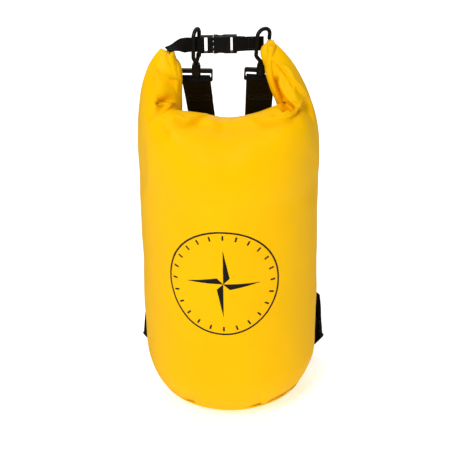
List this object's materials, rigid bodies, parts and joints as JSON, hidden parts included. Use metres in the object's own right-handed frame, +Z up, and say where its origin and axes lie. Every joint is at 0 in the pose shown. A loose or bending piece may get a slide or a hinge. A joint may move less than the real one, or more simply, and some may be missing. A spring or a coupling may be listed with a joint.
{
  "type": "stuff sack",
  "caption": "Packed roll-top waterproof sack standing on a round base: mouth rolled and clipped over the top by a side-release buckle, two clip-on shoulder straps behind.",
  "frame": {"origin": "centre of the round base, on the surface the sack stands on", "axes": "+Z up the sack, +X to the right of the printed front, +Y to the back, where the straps are"},
  "size_m": [0.2777, 0.2544, 0.5596],
  "materials": {
    "coated_fabric": "satin",
    "patch": "satin",
    "print": "satin",
    "stiffener": "matt",
    "webbing": "woven",
    "plastic": "satin"
  },
  "bodies": {
    "bag": {"bag_tube": "coated_fabric", "gathered_shoulder": "coated_fabric", "horn_left": "coated_fabric", "horn_right": "coated_fabric", "base_panel": "coated_fabric", "rolled_mouth": "coated_fabric", "mouth_stiffener": "stiffener", "printed_dial": "print", "closure_webbing_left": "webbing", "closure_webbing_right": "webbing", "buckle_socket": "plastic", "hook_frame_left": "plastic", "hook_frame_right": "plastic", "shoulder_strap_left": "webbing", "shoulder_strap_right": "webbing", "adjuster_left": "plastic", "adjuster_right": "plastic", "anchor_webbing_left": "webbing", "anchor_webbing_right": "webbing", "anchor_patch_left": "patch", "anchor_patch_right": "patch"},
    "prong": {"buckle_prong": "plastic"},
    "arm_upper": {"prong_arm_upper": "plastic"},
    "arm_lower": {"prong_arm_lower": "plastic"},
    "hook_left": {"hook_left": "plastic"},
    "gate_left": {"hook_gate_left": "plastic"},
    "hook_right": {"hook_right": "plastic"},
    "gate_right": {"hook_gate_right": "plastic"}
  },
  "joints": [
    {"name": "buckle_release", "type": "slide", "parent": "bag", "child": "prong", "axis": [-1, 0, 0], "range_m": [0, 0.024], "deforming": ["closure_webbing_left"]},
    {"name": "upper_arm_flex", "type": "hinge", "parent": "prong", "child": "arm_upper", "pos_m": [-0.0206, 0, 0.5425], "axis": [0, 1, 0], "range_deg": [0, 8]},
    {"name": "lower_arm_flex", "type": "hinge", "parent": "prong", "child": "arm_lower", "pos_m": [-0.0206, 0, 0.5285], "axis": [0, -1, 0], "range_deg": [0, 8]},
    {"name": "left_hook_swivel", "type": "hinge", "parent": "bag", "child": "hook_left", "pos_m": [-0.04242, 0.00621, 0.48095], "axis": [0.0243, -0.1039, 0.9943], "range_deg": [-12, 20]},
    {"name": "left_gate_open", "type": "hinge", "parent": "hook_left", "child": "gate_left", "pos_m": [-0.03832, 0.01045, 0.517], "axis": [0.926, -0.3726, -0.0616], "range_deg": [0, 8], "stiffness_Nm_per_rad": 0.03},
    {"name": "right_hook_swivel", "type": "hinge", "parent": "bag", "child": "hook_right", "pos_m": [0.04453, 0.00619, 0.48062], "axis": [0.0692, -0.1037, 0.9922], "range_deg": [0, 25]},
    {"name": "right_gate_open", "type": "hinge", "parent": "hook_right", "child": "gate_right", "pos_m": [0.05414, 0.0073, 0.51584], "axis": [0.5519, -0.8246, -0.1247], "range_deg": [0, 8], "stiffness_Nm_per_rad": 0.03}
  ],
  "couplings": [
    {"joint": "upper_arm_flex", "follows": "buckle_release", "rad_per_m": 5.8},
    {"joint": "lower_arm_flex", "follows": "buckle_release", "rad_per_m": 5.8}
  ]
}
